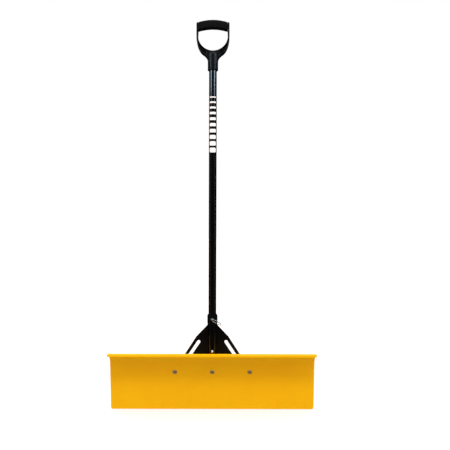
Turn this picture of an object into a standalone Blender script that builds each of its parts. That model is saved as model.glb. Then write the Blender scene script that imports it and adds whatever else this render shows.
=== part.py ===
"""Hand snow pusher: a wide curved poly blade, a steel bracket and a lift-out D-grip handle.

Metres, +Z up. The origin is the middle of the scraping edge, on the ground. +X runs along the
edge, the hollow front of the blade faces -Y and the handle rises along +Z.
"""
import math

import bmesh
import bpy
from mathutils import Matrix, Vector

GAP = 0.0003                      # left between touching pieces

# Blade: one sheet, straight up to the bend, then rolled forward into a lip
BLADE_WIDTH = 0.762
BLADE_THICKNESS = 0.00635
BLADE_LEAN = math.radians(7.7)    # the flat face leans forward from vertical
BLADE_FLAT_TOP = 0.1723           # height at which the flat face ends
BLADE_CURL_RADIUS = 0.050
BLADE_CURL_END = math.radians(95.0)
BLADE_LIP = 0.0111
BLADE_BOTTOM_CORNER = 0.007
BLADE_TOP_CORNER = 0.006

# Handle
HANDLE_Y = -0.0326                # the tube's axis, in front of the scraping edge
TUBE_RADIUS = 0.0143
TUBE_WALL = 0.0016
TUBE_BOTTOM = 0.2145
TUBE_TOP = 1.312
TUBE_SLOT_WIDTH = 0.0104          # open-ended slot that drops over the lower bolt
TUBE_SLOT_TOP = 0.2440

# Bracket: one steel plate, bent where it leaves the blade's back
BRACKET_THICKNESS = 0.004
BRACKET_TOP = 0.3598
BRACKET_BOTTOM = 0.1255
BRACKET_Y = HANDLE_Y + TUBE_RADIUS + GAP
BRACKET_OUTLINE = (               # right half, from the top: x, z, corner radius
    (0.0178, BRACKET_TOP, 0.002),
    (0.0178, 0.3199, 0.014),
    (0.0597, 0.2764, 0.012),
    (0.1003, 0.2140, 0.060),
    (0.1660, BRACKET_BOTTOM, 0.008),
)
SLOT_TOP = (0.0510, 0.2565)       # centres of each slot's round ends, x and z
SLOT_BOTTOM = (0.1020, 0.1800)
SLOT_RADIUS = 0.0060

# Saddle: strap bent round the tube and welded to the bracket
SADDLE_THICKNESS = 0.0032
SADDLE_BOTTOM = 0.3220

# Carriage bolts through blade and bracket
BLADE_BOLT_X = (-0.140, 0.0, 0.140)
BLADE_BOLT_NAMES = ("left", "centre", "right")
BLADE_BOLT_Z = 0.1444
BLADE_BOLT_RADIUS = 0.00395
BLADE_BOLT_HEAD_RADIUS = 0.0086
BLADE_BOLT_HEAD_HEIGHT = 0.0042
BLADE_BOLT_NECK = 0.0079          # side of the square neck
BLADE_WASHER_RADIUS = 0.0095
BLADE_WASHER_THICKNESS = 0.0016
BLADE_NUT_FLATS = 0.0127
BLADE_NUT_HEIGHT = 0.0068

# Lower bolt that the tube's slot drops over
HANDLE_BOLT_Z = 0.2256
HANDLE_BOLT_RADIUS = 0.0031
HANDLE_BOLT_HEAD_RADIUS = 0.0052
HANDLE_BOLT_HEAD_HEIGHT = 0.0036
HANDLE_WASHER_RADIUS = 0.0082
HANDLE_WASHER_THICKNESS = 0.0015
SPACER_RADIUS = 0.0048
HANDLE_NUT_FLATS = 0.0100
HANDLE_NUT_HEIGHT = 0.0052

# Quick-release pin with a wire bail
PIN_Z = 0.3440
PIN_RADIUS = 0.00318
PIN_HOLE_RADIUS = 0.0036
PIN_TAIL = 0.0080                 # how far the pin stands out behind the bracket
PIN_FLANGE_RADIUS = 0.0052
PIN_FLANGE_HEIGHT = 0.0025
PIN_TANG_LENGTH = 0.0078
PIN_TANG_WIDTH = 0.0084
PIN_TANG_THICKNESS = 0.0040
BAIL_ANGLE = math.radians(28.5)   # the bail hangs this far below level
BAIL_LENGTH = 0.0372
BAIL_WIRE_RADIUS = 0.00125
BAIL_PIVOT_HOLE = 0.0016          # radius of the cross hole through the pin's tang
BAIL_PIVOT_OUT = 0.0042           # from the flange's face to the cross hole

# D-grip
SOCKET_RADIUS = 0.01925
SOCKET_BOTTOM = 1.2664
SOCKET_SHOULDER = ((0.01925, 1.3210), (0.01925, 1.3290), (0.0175, 1.3355), (0.0120, 1.3375))
GRIP_DEPTH = 0.0270
GRIP_HALF_WIDTH = 0.0612
GRIP_TOP = 1.4540
GRIP_ARC_RADIUS = 0.1780          # arch of the bar, above and below
BAR_HEIGHT = 0.0322
BAR_CORE_INSET = 0.0085           # the core lies this far inside the pad
BAR_CORE_DEPTH = 0.0130
PAD_DEPTH = 0.0310
PAD_HALF_LENGTH = 0.0540
PAD_CORNER = 0.0100
HAND_HOLE_RADIUS = 0.0550
HAND_HOLE_CENTRE = 1.3935
GRIP_SHOULDER = ((0.0612, 1.3920), (0.0612, 1.3660), (0.0530, 1.3380), (0.0370, 1.3265))
GRIP_NECK = ((0.0370, 1.3265), (0.0262, 1.3188), (0.0195, 1.3120), (0.01925, 1.3010))
GRIP_NECK_END = (0.0115, 1.2860)  # the lower arms run out inside the socket here
POCKET_DEPTH = 0.0060             # recess moulded into each face of the lower arms
POCKET_RIM = 0.0032
POCKET_START_X = 0.0285           # its outer corners, towards the socket and the bar
POCKET_END_X = 0.0525
GRIP_SCREW_Z = 1.2850
GRIP_SCREW_RADIUS = 0.0021
GRIP_SCREW_HEAD_RADIUS = 0.0040
GRIP_SCREW_HEAD_HEIGHT = 0.0024

ROUND_STEPS = 48


# ---------------------------------------------------------------- helpers

def clear_scene():
    for obj in list(bpy.data.objects):
        bpy.data.objects.remove(obj, do_unlink=True)


def make_material(name, colour, roughness, metallic):
    material = bpy.data.materials.new(name)
    material.use_nodes = True
    shader = material.node_tree.nodes["Principled BSDF"]
    shader.inputs["Base Color"].default_value = (*colour, 1.0)
    shader.inputs["Roughness"].default_value = roughness
    shader.inputs["Metallic"].default_value = metallic
    material.diffuse_color = (*colour, 1.0)
    return material


def add_empty(name, location=(0, 0, 0), rotation=(0, 0, 0), parent=None):
    empty = bpy.data.objects.new(name, None)
    bpy.context.collection.objects.link(empty)
    empty.location = location
    empty.rotation_euler = rotation
    empty.parent = parent
    return empty


def add_object(name, mesh_data, material=None, location=(0, 0, 0), rotation=(0, 0, 0), parent=None):
    """Turn a bmesh into a named object with outward faces and smooth round sides."""
    bmesh.ops.recalc_face_normals(mesh_data, faces=mesh_data.faces)
    mesh = bpy.data.meshes.new(name)
    mesh_data.to_mesh(mesh)
    mesh_data.free()
    mesh.shade_smooth()
    mesh.set_sharp_from_angle(angle=math.radians(35))
    obj = bpy.data.objects.new(name, mesh)
    bpy.context.collection.objects.link(obj)
    if material:
        mesh.materials.append(material)
    obj.location = location
    obj.rotation_euler = rotation
    obj.parent = parent
    return obj


def add_cutter(name, mesh_data, location=(0, 0, 0), rotation=(0, 0, 0), parent=None):
    cutter = add_object(name, mesh_data, None, location, rotation, parent)
    cutter.hide_render = True
    cutter.display_type = "WIRE"
    return cutter


def add_boolean(obj, cutter, operation="DIFFERENCE"):
    modifier = obj.modifiers.new(operation.title() + " " + cutter.name, "BOOLEAN")
    modifier.operation = operation
    modifier.object = cutter


def even_shading(obj):
    """Keep flat faces looking flat where a Boolean cuts them."""
    modifier = obj.modifiers.new("Weighted Normal", "WEIGHTED_NORMAL")
    modifier.keep_sharp = True


def add_bevel(obj, width, segments=2, angle=40):
    modifier = obj.modifiers.new("Bevel", "BEVEL")
    modifier.width = width
    modifier.segments = segments
    modifier.limit_method = "ANGLE"
    modifier.angle_limit = math.radians(angle)


def loft(sections, closed=False):
    """Skin equal loops of points into one body; closed joins the last loop to the first."""
    body = bmesh.new()
    loops = [[body.verts.new(point) for point in section] for section in sections]
    pairs = list(zip(loops, loops[1:]))
    if closed:
        pairs.append((loops[-1], loops[0]))
    else:
        body.faces.new(loops[0])
        body.faces.new(loops[-1])
    for low, high in pairs:
        for index in range(len(low)):
            after = (index + 1) % len(low)
            body.faces.new((low[index], low[after], high[after], high[index]))
    return body


def prism(outline, low, high, axis="Y"):
    """Extrude an outline along Y (points are x, z) or along Z (points are x, y)."""
    if axis == "Y":
        return loft([[(x, low, z) for x, z in outline], [(x, high, z) for x, z in outline]])
    return loft([[(x, y, low) for x, y in outline], [(x, y, high) for x, y in outline]])


def turned(profile, steps=ROUND_STEPS):
    """Turn (radius, z) points about Z. A profile that starts on the axis also ends on it."""
    body = bmesh.new()
    solid = profile[0][0] == 0
    rings = []
    for radius, z in profile:
        if radius == 0:
            rings.append([body.verts.new((0, 0, z))])
            continue
        angles = [math.tau * step / steps for step in range(steps)]
        rings.append([body.verts.new((radius * math.cos(a), radius * math.sin(a), z)) for a in angles])
    pairs = list(zip(rings, rings[1:]))
    if not solid:
        pairs.append((rings[-1], rings[0]))
    for low, high in pairs:
        for step in range(steps):
            after = (step + 1) % steps
            corners = [low[step % len(low)], low[after % len(low)],
                       high[after % len(high)], high[step % len(high)]]
            body.faces.new(list(dict.fromkeys(corners)))
    return body


def arc(centre, radius, start, end, steps):
    """Points on an arc, angles in radians from the first axis."""
    points = []
    for step in range(steps + 1):
        angle = start + (end - start) * step / steps
        points.append((centre[0] + radius * math.cos(angle), centre[1] + radius * math.sin(angle)))
    return points


def circle(centre, radius, steps=32):
    return arc(centre, radius, 0, math.tau * (steps - 1) / steps, steps - 1)


def square(half):
    return [(-half, -half), (half, -half), (half, half), (-half, half)]


def bezier(controls, steps):
    points = []
    for step in range(steps + 1):
        t = step / steps
        weights = ((1 - t) ** 3, 3 * t * (1 - t) ** 2, 3 * t * t * (1 - t), t ** 3)
        points.append(tuple(sum(w * c[axis] for w, c in zip(weights, controls)) for axis in (0, 1)))
    return points


def rounded(corners, steps=6):
    """Outline through (x, z, radius) corners, each one rounded off by its own radius."""
    outline = []
    count = len(corners)
    for index, (x, z, radius) in enumerate(corners):
        here = Vector((x, z))
        before = (Vector(corners[index - 1][:2]) - here).normalized()
        after = (Vector(corners[(index + 1) % count][:2]) - here).normalized()
        half_angle = before.angle(after) / 2
        reach = radius / math.tan(half_angle)
        centre = here + (before + after).normalized() * (radius / math.sin(half_angle))
        start = here + before * reach - centre
        turn = start.angle_signed(here + after * reach - centre)
        for step in range(steps + 1):
            offset = Matrix.Rotation(-turn * step / steps, 2) @ start
            outline.append(tuple(centre + offset))
    return outline


def mirrored(right_half):
    """Complete a top-to-bottom right half outline with its mirror image."""
    return right_half + [(-x, *rest) for x, *rest in reversed(right_half)]


def capsule(start, end, radius, steps=10):
    """Outline of a slot with round ends."""
    along = math.atan2(end[1] - start[1], end[0] - start[0])
    first = arc(start, radius, along + math.pi / 2, along + math.pi * 1.5, steps)
    last = arc(end, radius, along - math.pi / 2, along + math.pi / 2, steps)
    return first + last


def hexagon_ring(flats, bore, height, low, steps=24):
    """Hexagonal nut along Z, its outer points at the same angles as its bore's."""
    outer = []
    inner = []
    for step in range(steps):
        angle = math.tau * step / steps
        from_flat = (angle + math.pi / 6) % (math.pi / 3) - math.pi / 6
        reach = flats / 2 / math.cos(from_flat)
        outer.append((reach * math.cos(angle), reach * math.sin(angle)))
        inner.append((bore * math.cos(angle), bore * math.sin(angle)))
    levels = ((outer, low), (outer, low + height), (inner, low + height), (inner, low))
    return loft([[(x, y, z) for x, y in ring] for ring, z in levels], closed=True)


def joined(*bodies):
    """Put several separate closed bodies in one mesh, for a cutter."""
    whole = bmesh.new()
    for body in bodies:
        mesh = bpy.data.meshes.new("joined")
        body.to_mesh(mesh)
        body.free()
        whole.from_mesh(mesh)
        bpy.data.meshes.remove(mesh)
    return whole


def moved(body, location=(0, 0, 0), rotation=None):
    matrix = Matrix.Translation(location)
    if rotation:
        matrix = matrix @ rotation
    bmesh.ops.transform(body, matrix=matrix, verts=body.verts)
    return body


# ---------------------------------------------------------------- blade

BLADE_EDGE_DEPTH = BLADE_THICKNESS / math.cos(BLADE_LEAN)
FLAT_LENGTH = BLADE_FLAT_TOP / math.cos(BLADE_LEAN)
CURL_LENGTH = BLADE_CURL_RADIUS * (BLADE_CURL_END - BLADE_LEAN)
SHEET_LENGTH = FLAT_LENGTH + CURL_LENGTH + BLADE_LIP
FACING_BACK = (-math.pi / 2, 0, 0)                     # turns local +Z to world +Y
SHEET_NORMAL = (-math.pi / 2 + BLADE_LEAN, 0, 0)       # turns local +Z square to the flat face


def sheet_point(along, depth):
    """(y, z) of the sheet at a length along its front face and a depth behind that face."""
    angle = BLADE_LEAN + min(max(along - FLAT_LENGTH, 0) / BLADE_CURL_RADIUS, BLADE_CURL_END - BLADE_LEAN)
    y = -BLADE_EDGE_DEPTH / 2 - math.sin(BLADE_LEAN) * min(along, FLAT_LENGTH)
    z = math.cos(BLADE_LEAN) * min(along, FLAT_LENGTH)
    y += BLADE_CURL_RADIUS * (math.cos(angle) - math.cos(BLADE_LEAN))
    z += BLADE_CURL_RADIUS * (math.sin(angle) - math.sin(BLADE_LEAN))
    past_curl = max(along - FLAT_LENGTH - CURL_LENGTH, 0)
    y += depth * math.cos(angle) - past_curl * math.sin(angle)
    z += depth * math.sin(angle) + past_curl * math.cos(angle)
    return y, z


def blade_rows():
    """(length along the sheet, half width) pairs from the scraping edge to the lip."""
    half = BLADE_WIDTH / 2
    rows = []
    for x, along in arc((half - BLADE_BOTTOM_CORNER, BLADE_BOTTOM_CORNER), BLADE_BOTTOM_CORNER,
                        -math.pi / 2, 0, 6):
        rows.append((along, x))
    rows.append((FLAT_LENGTH, half))
    rows += [(FLAT_LENGTH + CURL_LENGTH * step / 14, half) for step in range(1, 15)]
    for x, along in arc((half - BLADE_TOP_CORNER, SHEET_LENGTH - BLADE_TOP_CORNER), BLADE_TOP_CORNER,
                        0, math.pi / 2, 4):
        rows.append((along, x))
    return rows


def make_blade(material, parent):
    sections = []
    for along, half in blade_rows():
        front = sheet_point(along, 0)
        back = sheet_point(along, BLADE_THICKNESS)
        if along < BLADE_THICKNESS * math.tan(BLADE_LEAN):
            back = (front[0] + BLADE_EDGE_DEPTH, front[1])
        sections.append([(-half, *front), (half, *front), (half, *back), (-half, *back)])
    blade = add_object("blade", loft(sections), material, parent=parent)
    hole = square(BLADE_BOLT_NECK / 2 + GAP)
    tilt = Matrix.Rotation(SHEET_NORMAL[0], 4, "X")
    holes = [moved(prism(hole, -0.004, 0.012, "Z"), bolt_place(x), tilt) for x in BLADE_BOLT_X]
    add_boolean(blade, add_cutter("blade_bolt_holes_cutter", joined(*holes), parent=parent))
    even_shading(blade)
    return blade


def bolt_place(x):
    """Where a carriage bolt's axis meets the blade's front face."""
    y, z = sheet_point(BLADE_BOLT_Z / math.cos(BLADE_LEAN), 0)
    return (x, y, z)


# ---------------------------------------------------------------- bracket and saddle

def flange_profile():
    """(y, z) section of the bent plate, a little longer than its outline at both ends."""
    front = BRACKET_Y
    back = front + BRACKET_THICKNESS
    sheet_back_at_ground = BLADE_EDGE_DEPTH / 2 + GAP / math.cos(BLADE_LEAN)
    bend_z = (sheet_back_at_ground - front) / math.tan(BLADE_LEAN)
    back_bend_z = bend_z + BRACKET_THICKNESS * math.tan(BLADE_LEAN / 2)
    low_z = BRACKET_BOTTOM - 0.02
    low_front = front + (bend_z - low_z) * math.tan(BLADE_LEAN)
    low_back = back + (back_bend_z - low_z) * math.tan(BLADE_LEAN)
    high_z = BRACKET_TOP + 0.02
    return [(front, high_z), (front, bend_z), (low_front, low_z),
            (low_back, low_z), (back, back_bend_z), (back, high_z)]


def make_bracket(material, parent):
    reach = BRACKET_OUTLINE[-1][0] + 0.02
    profile = flange_profile()
    slab = loft([[(side, y, z) for y, z in profile] for side in (-reach, reach)])
    plate = add_object("bracket_plate", slab, material, parent=parent)
    outline = prism(rounded(mirrored(list(BRACKET_OUTLINE))), HANDLE_Y, BLADE_EDGE_DEPTH * 3)
    add_boolean(plate, add_cutter("bracket_outline_cutter", outline, parent=parent), "INTERSECT")

    front, back = BRACKET_Y - 0.01, BRACKET_Y + BRACKET_THICKNESS + 0.02
    holes = []
    for side in (-1, 1):
        top = (side * SLOT_TOP[0], SLOT_TOP[1])
        bottom = (side * SLOT_BOTTOM[0], SLOT_BOTTOM[1])
        holes.append(prism(capsule(top, bottom, SLOT_RADIUS), front, back))
    holes.append(prism(circle((0, PIN_Z), PIN_HOLE_RADIUS), front, back))
    holes.append(prism(circle((0, HANDLE_BOLT_Z), HANDLE_BOLT_RADIUS + GAP), front, back))
    tilt = Matrix.Rotation(SHEET_NORMAL[0], 4, "X")
    for x in BLADE_BOLT_X:
        hole = prism(circle((0, 0), BLADE_BOLT_RADIUS + GAP), 0.003, 0.020, "Z")
        holes.append(moved(hole, bolt_place(x), tilt))
    add_boolean(plate, add_cutter("bracket_holes_cutter", joined(*holes), parent=parent))
    even_shading(plate)
    return plate


def make_saddle(material, parent):
    inner = TUBE_RADIUS + GAP
    outer = inner + SADDLE_THICKNESS
    leg_end = BRACKET_Y - GAP - HANDLE_Y
    outline = [(outer, leg_end)] + arc((0, 0), outer, 0, -math.pi, 28) + [(-outer, leg_end)]
    outline += [(-inner, leg_end)] + arc((0, 0), inner, -math.pi, 0, 28) + [(inner, leg_end)]
    strap = prism(outline, SADDLE_BOTTOM, BRACKET_TOP, "Z")
    saddle = add_object("handle_saddle", strap, material, (0, HANDLE_Y, 0), parent=parent)
    hole = prism(circle((0, PIN_Z), PIN_HOLE_RADIUS), -0.025, -0.005)
    add_boolean(saddle, add_cutter("saddle_hole_cutter", hole, (0, HANDLE_Y, 0), parent=parent))
    even_shading(saddle)
    return saddle


# ---------------------------------------------------------------- handle

def make_tube(material, parent):
    inner = TUBE_RADIUS - TUBE_WALL
    wall = turned([(TUBE_RADIUS, TUBE_BOTTOM), (TUBE_RADIUS, TUBE_TOP),
                   (inner, TUBE_TOP), (inner, TUBE_BOTTOM)])
    tube = add_object("handle_tube", wall, material, parent=parent)
    slot_radius = TUBE_SLOT_WIDTH / 2
    slot = capsule((0, TUBE_SLOT_TOP - slot_radius), (0, TUBE_BOTTOM - slot_radius * 2), slot_radius)
    pin_hole = circle((0, PIN_Z), PIN_HOLE_RADIUS)
    screw_hole = circle((0, GRIP_SCREW_Z), GRIP_SCREW_RADIUS + GAP, 24)
    cuts = joined(prism(slot, -0.02, 0.02), prism(pin_hole, -0.02, 0.02), prism(screw_hole, 0.005, 0.02))
    add_boolean(tube, add_cutter("tube_cutter", cuts, parent=parent))
    even_shading(tube)
    return tube


def arch_drop(x):
    """How far the grip's bar falls away at x from its middle."""
    return GRIP_ARC_RADIUS - math.sqrt(GRIP_ARC_RADIUS ** 2 - x * x)


def yoke_outline():
    """Right half of the grip's outer outline, from the middle of the bar's core down."""
    core_top = GRIP_TOP - BAR_CORE_INSET
    inside = PAD_HALF_LENGTH + GAP
    points = [(inside * step / 8, core_top - arch_drop(inside * step / 8)) for step in range(1, 9)]
    top = GRIP_TOP - arch_drop(inside)
    points += [(inside, top - 0.0016), (GRIP_HALF_WIDTH - 0.002, top - 0.0037)]
    points.append((GRIP_HALF_WIDTH, top - 0.0060))
    points += bezier(GRIP_SHOULDER, 12) + bezier(GRIP_NECK, 6)[1:]
    points.append(GRIP_NECK_END)
    return points


def hand_hole_outline():
    """Right half of the opening, from the middle of the core's underside down."""
    core_bottom = GRIP_TOP - BAR_HEIGHT + BAR_CORE_INSET
    points = [(PAD_HALF_LENGTH * step / 8, core_bottom - arch_drop(PAD_HALF_LENGTH * step / 8))
              for step in range(1, 9)]
    points[-1] = (PAD_HALF_LENGTH + GAP, points[-1][1])
    points.append((PAD_HALF_LENGTH + GAP, GRIP_TOP - BAR_HEIGHT - arch_drop(PAD_HALF_LENGTH)))
    centre = (0, HAND_HOLE_CENTRE)
    points += arc(centre, HAND_HOLE_RADIUS, math.radians(8), -math.pi / 2, 20)[:-1]
    return points


def pocket_pairs():
    """(inner, outer) points of the recess in the right lower arm, on rays from the hand hole's centre."""
    centre = Vector((0, HAND_HOLE_CENTRE))
    edge = bezier(GRIP_SHOULDER, 24) + bezier(GRIP_NECK, 12)[1:]
    pairs = []
    for before, here, after in zip(edge, edge[1:], edge[2:]):
        along = (Vector(after) - Vector(before)).normalized()
        outer = Vector(here) + Vector((along.y, -along.x)) * POCKET_RIM
        if POCKET_START_X < outer.x < POCKET_END_X:
            inner = centre + (outer - centre).normalized() * (HAND_HOLE_RADIUS + POCKET_RIM)
            pairs.append((inner, outer))
    return pairs


def make_pocket(side, low, high):
    """Cutter for one recess, from low to high along Y."""
    sections = []
    for inner, outer in pocket_pairs():
        corners = ((inner, low), (outer, low), (outer, high), (inner, high))
        sections.append([(side * point.x, y, point.y) for point, y in corners])
    return loft(sections)


def make_yoke(material, parent):
    half_depth = GRIP_DEPTH / 2
    ring = add_object("grip_yoke", prism(mirrored_top(yoke_outline()), -half_depth, half_depth), material,
                      parent=parent)
    hole = prism(mirrored_top(hand_hole_outline()), -half_depth - 0.01, half_depth + 0.01)
    add_boolean(ring, add_cutter("hand_hole_cutter", hole, parent=parent))
    add_bevel(ring, 0.0016)
    shoulder = bezier(SOCKET_SHOULDER, 6)
    socket = turned([(0, SOCKET_BOTTOM), (SOCKET_RADIUS, SOCKET_BOTTOM)] + shoulder + [(0, shoulder[-1][1])])
    add_boolean(ring, add_cutter("socket_cutter", socket, parent=parent), "UNION")
    reach = PAD_HALF_LENGTH + GAP
    low, high = HAND_HOLE_CENTRE + 0.014, GRIP_TOP + 0.01
    block = [(-reach, low), (reach, low), (reach, high), (-reach, high)]
    core = BAR_CORE_DEPTH / 2
    cuts = [prism(block, core, half_depth + 0.01), prism(block, -half_depth - 0.01, -core)]
    for side in (-1, 1):
        cuts.append(make_pocket(side, half_depth - POCKET_DEPTH, half_depth + 0.01))
        cuts.append(make_pocket(side, -half_depth - 0.01, POCKET_DEPTH - half_depth))
    bore = TUBE_RADIUS + GAP
    cuts.append(turned([(0, SOCKET_BOTTOM - 0.01), (bore, SOCKET_BOTTOM - 0.01),
                        (bore, TUBE_TOP + GAP), (0, TUBE_TOP + GAP)]))
    screw_hole = circle((0, GRIP_SCREW_Z), GRIP_SCREW_RADIUS + GAP, 24)
    cuts.append(prism(screw_hole, 0.005, 0.03))
    add_boolean(ring, add_cutter("yoke_cutter", joined(*cuts), parent=parent))
    even_shading(ring)
    return ring


def mirrored_top(right_half):
    """Close a right half outline that starts beside x = 0 at the top."""
    return right_half + [(-x, z) for x, z in reversed(right_half)]


def pad_section(x, inset, depth, corner, steps):
    """Rounded (y, z) section of the bar at x, pulled in by inset."""
    half_depth = depth / 2
    top = GRIP_TOP - inset - arch_drop(x)
    bottom = GRIP_TOP - BAR_HEIGHT + inset - arch_drop(x)
    corners = [(half_depth, top, corner), (half_depth, bottom, corner),
               (-half_depth, bottom, corner), (-half_depth, top, corner)]
    return [(x, y, z) for y, z in rounded(corners, steps)]


def make_pad(material, parent):
    """Soft hand-hold moulded round the bar's core."""
    places = [PAD_HALF_LENGTH * (step / 8 - 1) for step in range(17)]
    outer = [pad_section(x, 0, PAD_DEPTH, PAD_CORNER, 5) for x in places]
    space = BAR_CORE_DEPTH + GAP * 2
    inner = []
    for x in reversed(places):
        flare = GAP if abs(x) > PAD_HALF_LENGTH - GAP else 0      # clears the rounded ends of the core
        inner.append(pad_section(x, BAR_CORE_INSET - GAP - flare, space, 0.0005, 5))
    return add_object("grip_pad", loft(outer + inner, closed=True), material, parent=parent)


# ---------------------------------------------------------------- fasteners

def domed_head(radius, height, steps=6):
    """(radius, z) points of a round head that rises towards -Z from its rim at z = 0."""
    sphere = (radius ** 2 + height ** 2) / (2 * height)
    angle = math.asin(min(1, radius / sphere))
    turns = [angle * step / steps for step in range(steps + 1)]
    return [(sphere * math.sin(a), sphere - height - sphere * math.cos(a)) for a in turns]


def make_blade_fasteners(zinc, parent):
    """Carriage bolt from the front, washer and nut behind, for each hole."""
    stack = BLADE_THICKNESS + GAP + BRACKET_THICKNESS
    end = stack + GAP + BLADE_WASHER_THICKNESS + GAP + BLADE_NUT_HEIGHT + 0.003
    neck = BLADE_THICKNESS - 0.001
    for x, side in zip(BLADE_BOLT_X, BLADE_BOLT_NAMES):
        place = add_empty("blade_bolt_place_" + side, bolt_place(x), SHEET_NORMAL, parent)
        head = domed_head(BLADE_BOLT_HEAD_RADIUS, BLADE_BOLT_HEAD_HEIGHT)
        profile = [(r, z - GAP) for r, z in head]
        profile += [(BLADE_BOLT_RADIUS, -GAP), (BLADE_BOLT_RADIUS, end - 0.001),
                    (BLADE_BOLT_RADIUS - 0.001, end), (0, end)]
        bolt = add_object("blade_bolt_" + side, turned(profile, 32), zinc, parent=place)
        neck_body = prism(square(BLADE_BOLT_NECK / 2), -GAP - 0.0005, neck, "Z")
        add_boolean(bolt, add_cutter("neck_cutter_" + side, neck_body, parent=place), "UNION")
        bore = BLADE_BOLT_RADIUS + GAP
        low = stack + GAP
        high = low + BLADE_WASHER_THICKNESS
        ring = [(bore, low), (BLADE_WASHER_RADIUS, low), (BLADE_WASHER_RADIUS, high), (bore, high)]
        add_object("blade_washer_" + side, turned(ring, 32), zinc, parent=place)
        nut = hexagon_ring(BLADE_NUT_FLATS, bore, BLADE_NUT_HEIGHT, high + GAP)
        add_object("blade_nut_" + side, nut, zinc, parent=place)


def make_handle_bolt(zinc, black, parent):
    """Fixed bolt that the slotted end of the tube drops over, with its spacer and washers."""
    place = add_empty("handle_bolt_place", (0, BRACKET_Y, HANDLE_BOLT_Z), FACING_BACK, parent)
    bore = HANDLE_BOLT_RADIUS + GAP
    spacer_front = -2 * (TUBE_RADIUS + GAP) - GAP
    ring = [(bore, spacer_front), (SPACER_RADIUS, spacer_front), (SPACER_RADIUS, -GAP), (bore, -GAP)]
    add_object("handle_bolt_spacer", turned(ring, 32), zinc, parent=place)
    washer_back = spacer_front - GAP
    washer_front = washer_back - HANDLE_WASHER_THICKNESS
    ring = [(bore, washer_front), (HANDLE_WASHER_RADIUS, washer_front), (HANDLE_WASHER_RADIUS, washer_back),
            (bore, washer_back)]
    add_object("handle_bolt_washer_front", turned(ring, 32), black, parent=place)
    low = BRACKET_THICKNESS + GAP
    high = low + HANDLE_WASHER_THICKNESS
    ring = [(bore, low), (HANDLE_WASHER_RADIUS, low), (HANDLE_WASHER_RADIUS, high), (bore, high)]
    add_object("handle_bolt_washer_rear", turned(ring, 32), zinc, parent=place)
    nut = hexagon_ring(HANDLE_NUT_FLATS, bore, HANDLE_NUT_HEIGHT, high + GAP)
    add_object("handle_nut", nut, zinc, parent=place)
    end = high + GAP + HANDLE_NUT_HEIGHT + 0.0025
    head_back = washer_front - GAP
    head = domed_head(HANDLE_BOLT_HEAD_RADIUS, HANDLE_BOLT_HEAD_HEIGHT)
    profile = [(r, z + head_back) for r, z in head]
    profile += [(HANDLE_BOLT_RADIUS, head_back), (HANDLE_BOLT_RADIUS, end - 0.0008),
                (HANDLE_BOLT_RADIUS - 0.0008, end), (0, end)]
    add_object("handle_bolt", turned(profile, 32), zinc, parent=place)


def make_grip_screw(zinc, parent):
    """Pan-head screw from behind, through the socket into the tube."""
    place = (0, SOCKET_RADIUS + GAP, GRIP_SCREW_Z)
    tip = -(SOCKET_RADIUS + GAP - TUBE_RADIUS + TUBE_WALL + 0.003)
    head = GRIP_SCREW_HEAD_HEIGHT
    radius = GRIP_SCREW_HEAD_RADIUS
    profile = [(0, head), (radius * 0.62, head), (radius * 0.92, head * 0.72), (radius, head * 0.3),
               (radius, 0), (GRIP_SCREW_RADIUS, 0), (GRIP_SCREW_RADIUS, tip + 0.002), (0.0004, tip), (0, tip)]
    add_object("grip_screw", turned(profile, 24), zinc, place, FACING_BACK, parent)


# ---------------------------------------------------------------- pin and bail

def make_pin(zinc, parent):
    """Pin along Y; its local +Z points back and its origin is under the flange."""
    saddle_front = HANDLE_Y - TUBE_RADIUS - GAP - SADDLE_THICKNESS
    place = (0, saddle_front - GAP, PIN_Z)
    end = BRACKET_Y + BRACKET_THICKNESS + PIN_TAIL - place[1]
    profile = [(0, -PIN_FLANGE_HEIGHT), (PIN_FLANGE_RADIUS - 0.0006, -PIN_FLANGE_HEIGHT),
               (PIN_FLANGE_RADIUS, 0.0006 - PIN_FLANGE_HEIGHT), (PIN_FLANGE_RADIUS, 0), (PIN_RADIUS, 0),
               (PIN_RADIUS, end - 0.0018), (PIN_RADIUS - 0.0012, end), (0, end)]
    pin = add_object("lock_pin", turned(profile, 32), zinc, place, FACING_BACK, parent)
    half_width = PIN_TANG_WIDTH / 2
    straight = PIN_TANG_LENGTH - half_width
    front = [(half_width, 0.001)] + arc((0, -straight), half_width, 0, -math.pi, 12) + [(-half_width, 0.001)]
    tang = prism(front, -PIN_TANG_THICKNESS / 2, PIN_TANG_THICKNESS / 2)
    hole = prism(circle((0, -BAIL_PIVOT_OUT), BAIL_PIVOT_HOLE, 24), -0.01, 0.01)
    turn = Matrix.Rotation(BAIL_ANGLE, 4, "Z")
    level = Matrix.Translation((0, 0, -PIN_FLANGE_HEIGHT))
    for body in (tang, hole):
        bmesh.ops.transform(body, matrix=turn @ level, verts=body.verts)
    add_boolean(pin, add_cutter("tang_cutter", tang, parent=pin), "UNION")
    add_boolean(pin, add_cutter("tang_hole_cutter", hole, parent=pin))
    return pin


def bail_route():
    """Centre line of the wire: local X along the bail, local Y across it, origin on the hinge."""
    across = PIN_TANG_THICKNESS / 2 + GAP + BAIL_WIRE_RADIUS
    bend = BAIL_WIRE_RADIUS * 1.6
    tip = PIN_TANG_THICKNESS * 0.2
    turn_x = BAIL_LENGTH - across - BAIL_WIRE_RADIUS
    lower = [(0, -tip), (0, bend - across)]
    lower += arc((bend, bend - across), bend, math.pi, math.pi * 1.5, 5)[1:]
    end = arc((turn_x, 0), across, -math.pi / 2, math.pi / 2, 12)
    upper = [(x, -y) for x, y in reversed(lower)]
    return lower + end + upper


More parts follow.
